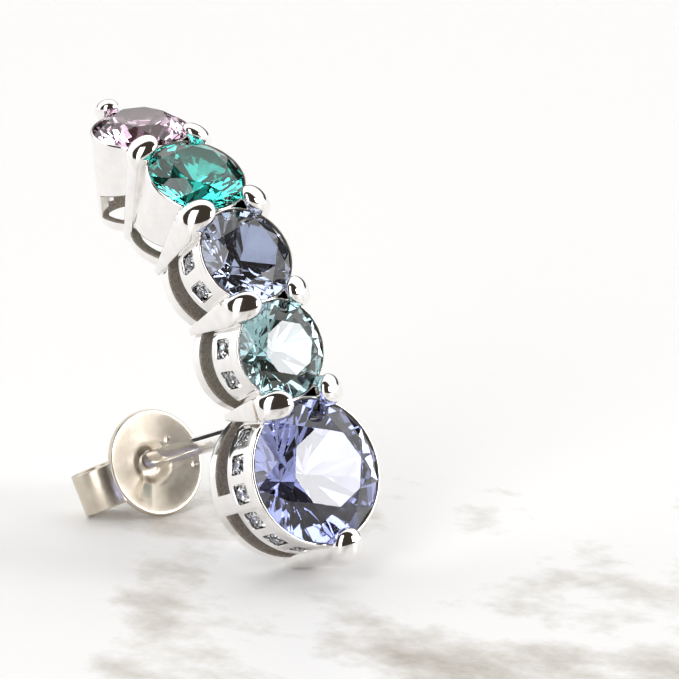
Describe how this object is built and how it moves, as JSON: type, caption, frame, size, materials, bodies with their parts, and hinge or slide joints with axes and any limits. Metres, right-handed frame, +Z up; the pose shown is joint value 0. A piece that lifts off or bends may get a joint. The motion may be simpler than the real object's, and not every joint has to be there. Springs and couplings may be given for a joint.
{
  "type": "ear climber",
  "caption": "Climber earring: a row of claw-set round stones in cast baskets bending back over the ear, on a post with a butterfly nut.",
  "frame": {"origin": "centre of the bounding box on the surface the earring lies on", "axes": "+Z up as it lies, stones facing -Y, +X across the row; the ear post runs back along +Y and down"},
  "size_m": [0.0068, 0.0168, 0.0181],
  "materials": {
    "rhodium_silver": "bright rhodium plate, polished, with cast texture inside the gaps",
    "violet_stone": "faceted, clear, lavender blue",
    "aqua_stone": "faceted, clear, pale teal grey",
    "blue_stone": "faceted, clear, slate blue",
    "green_stone": "faceted, clear, deep teal green",
    "pink_stone": "faceted, clear, pale lilac pink",
    "white_accent": "faceted, colourless",
    "champagne_metal": "polished, warm champagne tint"
  },
  "bodies": {
    "climber": {"setting": "rhodium_silver", "stone_violet": "violet_stone", "stone_aqua": "aqua_stone", "stone_blue": "blue_stone", "stone_green": "green_stone", "stone_pink": "pink_stone", "accent_violet_1": "white_accent", "accent_violet_2": "white_accent", "accent_violet_3": "white_accent", "accent_violet_4": "white_accent", "accent_violet_5": "white_accent", "accent_violet_6": "white_accent", "accent_violet_7": "white_accent", "accent_violet_8": "white_accent", "accent_violet_9": "white_accent", "accent_violet_10": "white_accent", "accent_violet_11": "white_accent", "accent_violet_12": "white_accent", "accent_aqua_1": "white_accent", "accent_aqua_2": "white_accent", "accent_aqua_3": "white_accent", "accent_aqua_4": "white_accent", "accent_blue_1": "white_accent", "accent_blue_2": "white_accent", "accent_blue_3": "white_accent", "accent_blue_4": "white_accent"},
    "nut": {"ear_nut": "champagne_metal"}
  },
  "joints": [
    {"name": "nut_slide", "type": "slide", "parent": "climber", "child": "nut", "axis": [0, 0.9244, -0.3815], "range_m": [-0.007, 0.0045]}
  ]
}
